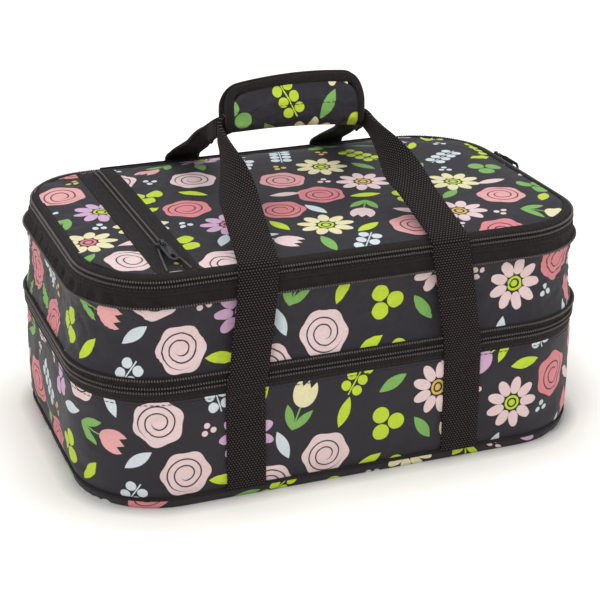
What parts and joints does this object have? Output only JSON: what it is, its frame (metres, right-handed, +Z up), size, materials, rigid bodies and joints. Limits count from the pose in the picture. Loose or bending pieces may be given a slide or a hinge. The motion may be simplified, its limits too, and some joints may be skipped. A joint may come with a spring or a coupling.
{
  "type": "casserole carrier",
  "caption": "Padded insulated carrier bag for a covered dish, with a zipped lower case, an expanding zipped upper deck, a lid pocket and webbing handles joined by a padded grip.",
  "frame": {"origin": "centre of the base's underside", "axes": "+X along the bag's length to its right end, +Y to the back, +Z up; the front faces -Y"},
  "size_m": [0.4162, 0.2785, 0.2783],
  "materials": {
    "cloth": "printed woven cloth, satin",
    "black_cloth": "black woven tape, matt",
    "webbing": "black woven webbing, matt",
    "coil": "black nylon coil",
    "metal": "black painted zinc, satin",
    "foil": "metallised film on foam",
    "foam": "closed-cell foam",
    "board": "plain plastic sheet"
  },
  "bodies": {
    "lower_case": {"base_panel": "cloth", "base_board": "board", "bottom_piping": "black_cloth", "lower_wall": "cloth", "lower_foam": "foam", "lower_liner": "foil", "lower_zip_tape": "black_cloth", "lower_zip_coil": "coil", "deck_hinge_strip": "black_cloth", "front_strap_foot_left": "webbing", "front_strap_foot_right": "webbing", "back_strap_foot_left": "webbing", "back_strap_foot_right": "webbing"},
    "lower_slider": {"lower_slider": "metal"},
    "lower_pull": {"lower_pull": "metal"},
    "deck": {"deck_band": "black_cloth", "deck_divider": "foil", "deck_zip_coil": "coil", "expansion_coil_lower": "coil", "gusset": "cloth"},
    "expansion_slider": {"expansion_slider": "metal"},
    "expansion_pull": {"expansion_pull": "metal"},
    "upper_frame": {"upper_band": "black_cloth", "expansion_coil_upper": "coil", "lid_zip_coil_lower": "coil", "lid_hinge_strip": "black_cloth"},
    "lid_slider": {"lid_slider": "metal"},
    "lid_pull": {"lid_pull": "metal"},
    "lid": {"lid_binding": "black_cloth", "lid_main_panel": "cloth", "lid_end_panel": "cloth", "pocket_tape_left": "black_cloth", "pocket_tape_right": "black_cloth", "pocket_coil_left": "coil", "pocket_coil_right": "coil", "pocket_liner": "foil", "lid_foam": "foam", "lid_liner": "foil", "lid_zip_coil_upper": "coil"},
    "pocket_slider": {"pocket_slider": "metal"},
    "pocket_pull": {"pocket_pull": "metal"},
    "front_strap": {"front_upright_left": "webbing", "front_upright_right": "webbing"},
    "front_handle": {"front_loop": "webbing"},
    "back_strap": {"back_upright_left": "webbing", "back_upright_right": "webbing"},
    "back_handle": {"back_loop": "webbing", "grip_back_panel": "cloth", "grip_back_binding": "black_cloth", "grip_loop_tape": "black_cloth"},
    "grip_flap": {"grip_front_panel": "cloth", "grip_front_binding": "black_cloth", "grip_hook_tape": "black_cloth"}
  },
  "joints": [
    {"name": "deck_hinge", "type": "hinge", "parent": "lower_case", "child": "deck", "pos_m": [0, 0.1352, 0.09555], "axis": [-1, 0, 0], "range_deg": [0, 75], "deforming": ["deck_hinge_strip"]},
    {"name": "expansion_slide", "type": "slide", "parent": "deck", "child": "upper_frame", "axis": [0, 0, 1], "range_m": [-0.05, 0], "deforming": ["gusset"]},
    {"name": "lid_hinge", "type": "hinge", "parent": "upper_frame", "child": "lid", "pos_m": [0, 0.1307, 0.17415], "axis": [-1, 0, 0], "range_deg": [0, 100], "deforming": ["lid_hinge_strip"]},
    {"name": "front_strap_swing", "type": "hinge", "parent": "lower_case", "child": "front_strap", "pos_m": [0, -0.1343, 0.08625], "axis": [1, 0, 0], "range_deg": [0, 75], "deforming": ["front_upright_left", "front_upright_right"]},
    {"name": "front_handle_fold", "type": "hinge", "parent": "front_strap", "child": "front_handle", "pos_m": [0, -0.1319, 0.17415], "axis": [1, 0, 0], "range_deg": [0, 100], "deforming": ["front_loop"]},
    {"name": "back_strap_swing", "type": "hinge", "parent": "lower_case", "child": "back_strap", "pos_m": [0, 0.1343, 0.08625], "axis": [-1, 0, 0], "range_deg": [0, 75], "deforming": ["back_upright_left", "back_upright_right"]},
    {"name": "back_handle_fold", "type": "hinge", "parent": "back_strap", "child": "back_handle", "pos_m": [0, 0.1319, 0.17415], "axis": [-1, 0, 0], "range_deg": [0, 100], "deforming": ["back_loop"]},
    {"name": "grip_flap_hinge", "type": "hinge", "parent": "back_handle", "child": "grip_flap", "pos_m": [0, -0.00445, 0.2383], "axis": [1, 0, 0], "range_deg": [0, 150]},
    {"name": "pocket_slide", "type": "slide", "parent": "lid", "child": "pocket_slider", "axis": [0, 1, 0], "range_m": [-0.021, 0.175]},
    {"name": "pocket_pull_swing", "type": "hinge", "parent": "pocket_slider", "child": "pocket_pull", "pos_m": [-0.132, -0.08, 0.1856], "axis": [-1, 0, 0], "range_deg": [0, 165]},
    {"name": "lid_slide", "type": "slide", "parent": "upper_frame", "child": "lid_slider", "axis": [0, 1, 0], "range_m": [-0.11, 0.01]},
    {"name": "lid_pull_swing", "type": "hinge", "parent": "lid_slider", "child": "lid_pull", "pos_m": [0.2038, 0.05, 0.17415], "axis": [0, 0, 1], "range_deg": [0, 165]},
    {"name": "lower_slide", "type": "slide", "parent": "lower_case", "child": "lower_slider", "axis": [0, 1, 0], "range_m": [-0.08, 0.04]},
    {"name": "lower_pull_swing", "type": "hinge", "parent": "lower_slider", "child": "lower_pull", "pos_m": [0.2083, 0.02, 0.09555], "axis": [0, 0, 1], "range_deg": [0, 165]},
    {"name": "expansion_zip_slide", "type": "slide", "parent": "deck", "child": "expansion_slider", "axis": [1, 0, 0], "range_m": [-0.03, 0.03]},
    {"name": "expansion_pull_swing", "type": "hinge", "parent": "expansion_slider", "child": "expansion_pull", "pos_m": [0.02, 0.1383, 0.1038], "axis": [0, 0, -1], "range_deg": [0, 165]}
  ],
  "couplings": [
    {"joint": "front_strap_swing", "follows": "deck_hinge", "ratio": 1},
    {"joint": "back_strap_swing", "follows": "deck_hinge", "ratio": 1},
    {"joint": "front_handle_fold", "follows": "lid_hinge", "ratio": 1},
    {"joint": "back_handle_fold", "follows": "lid_hinge", "ratio": 1}
  ]
}
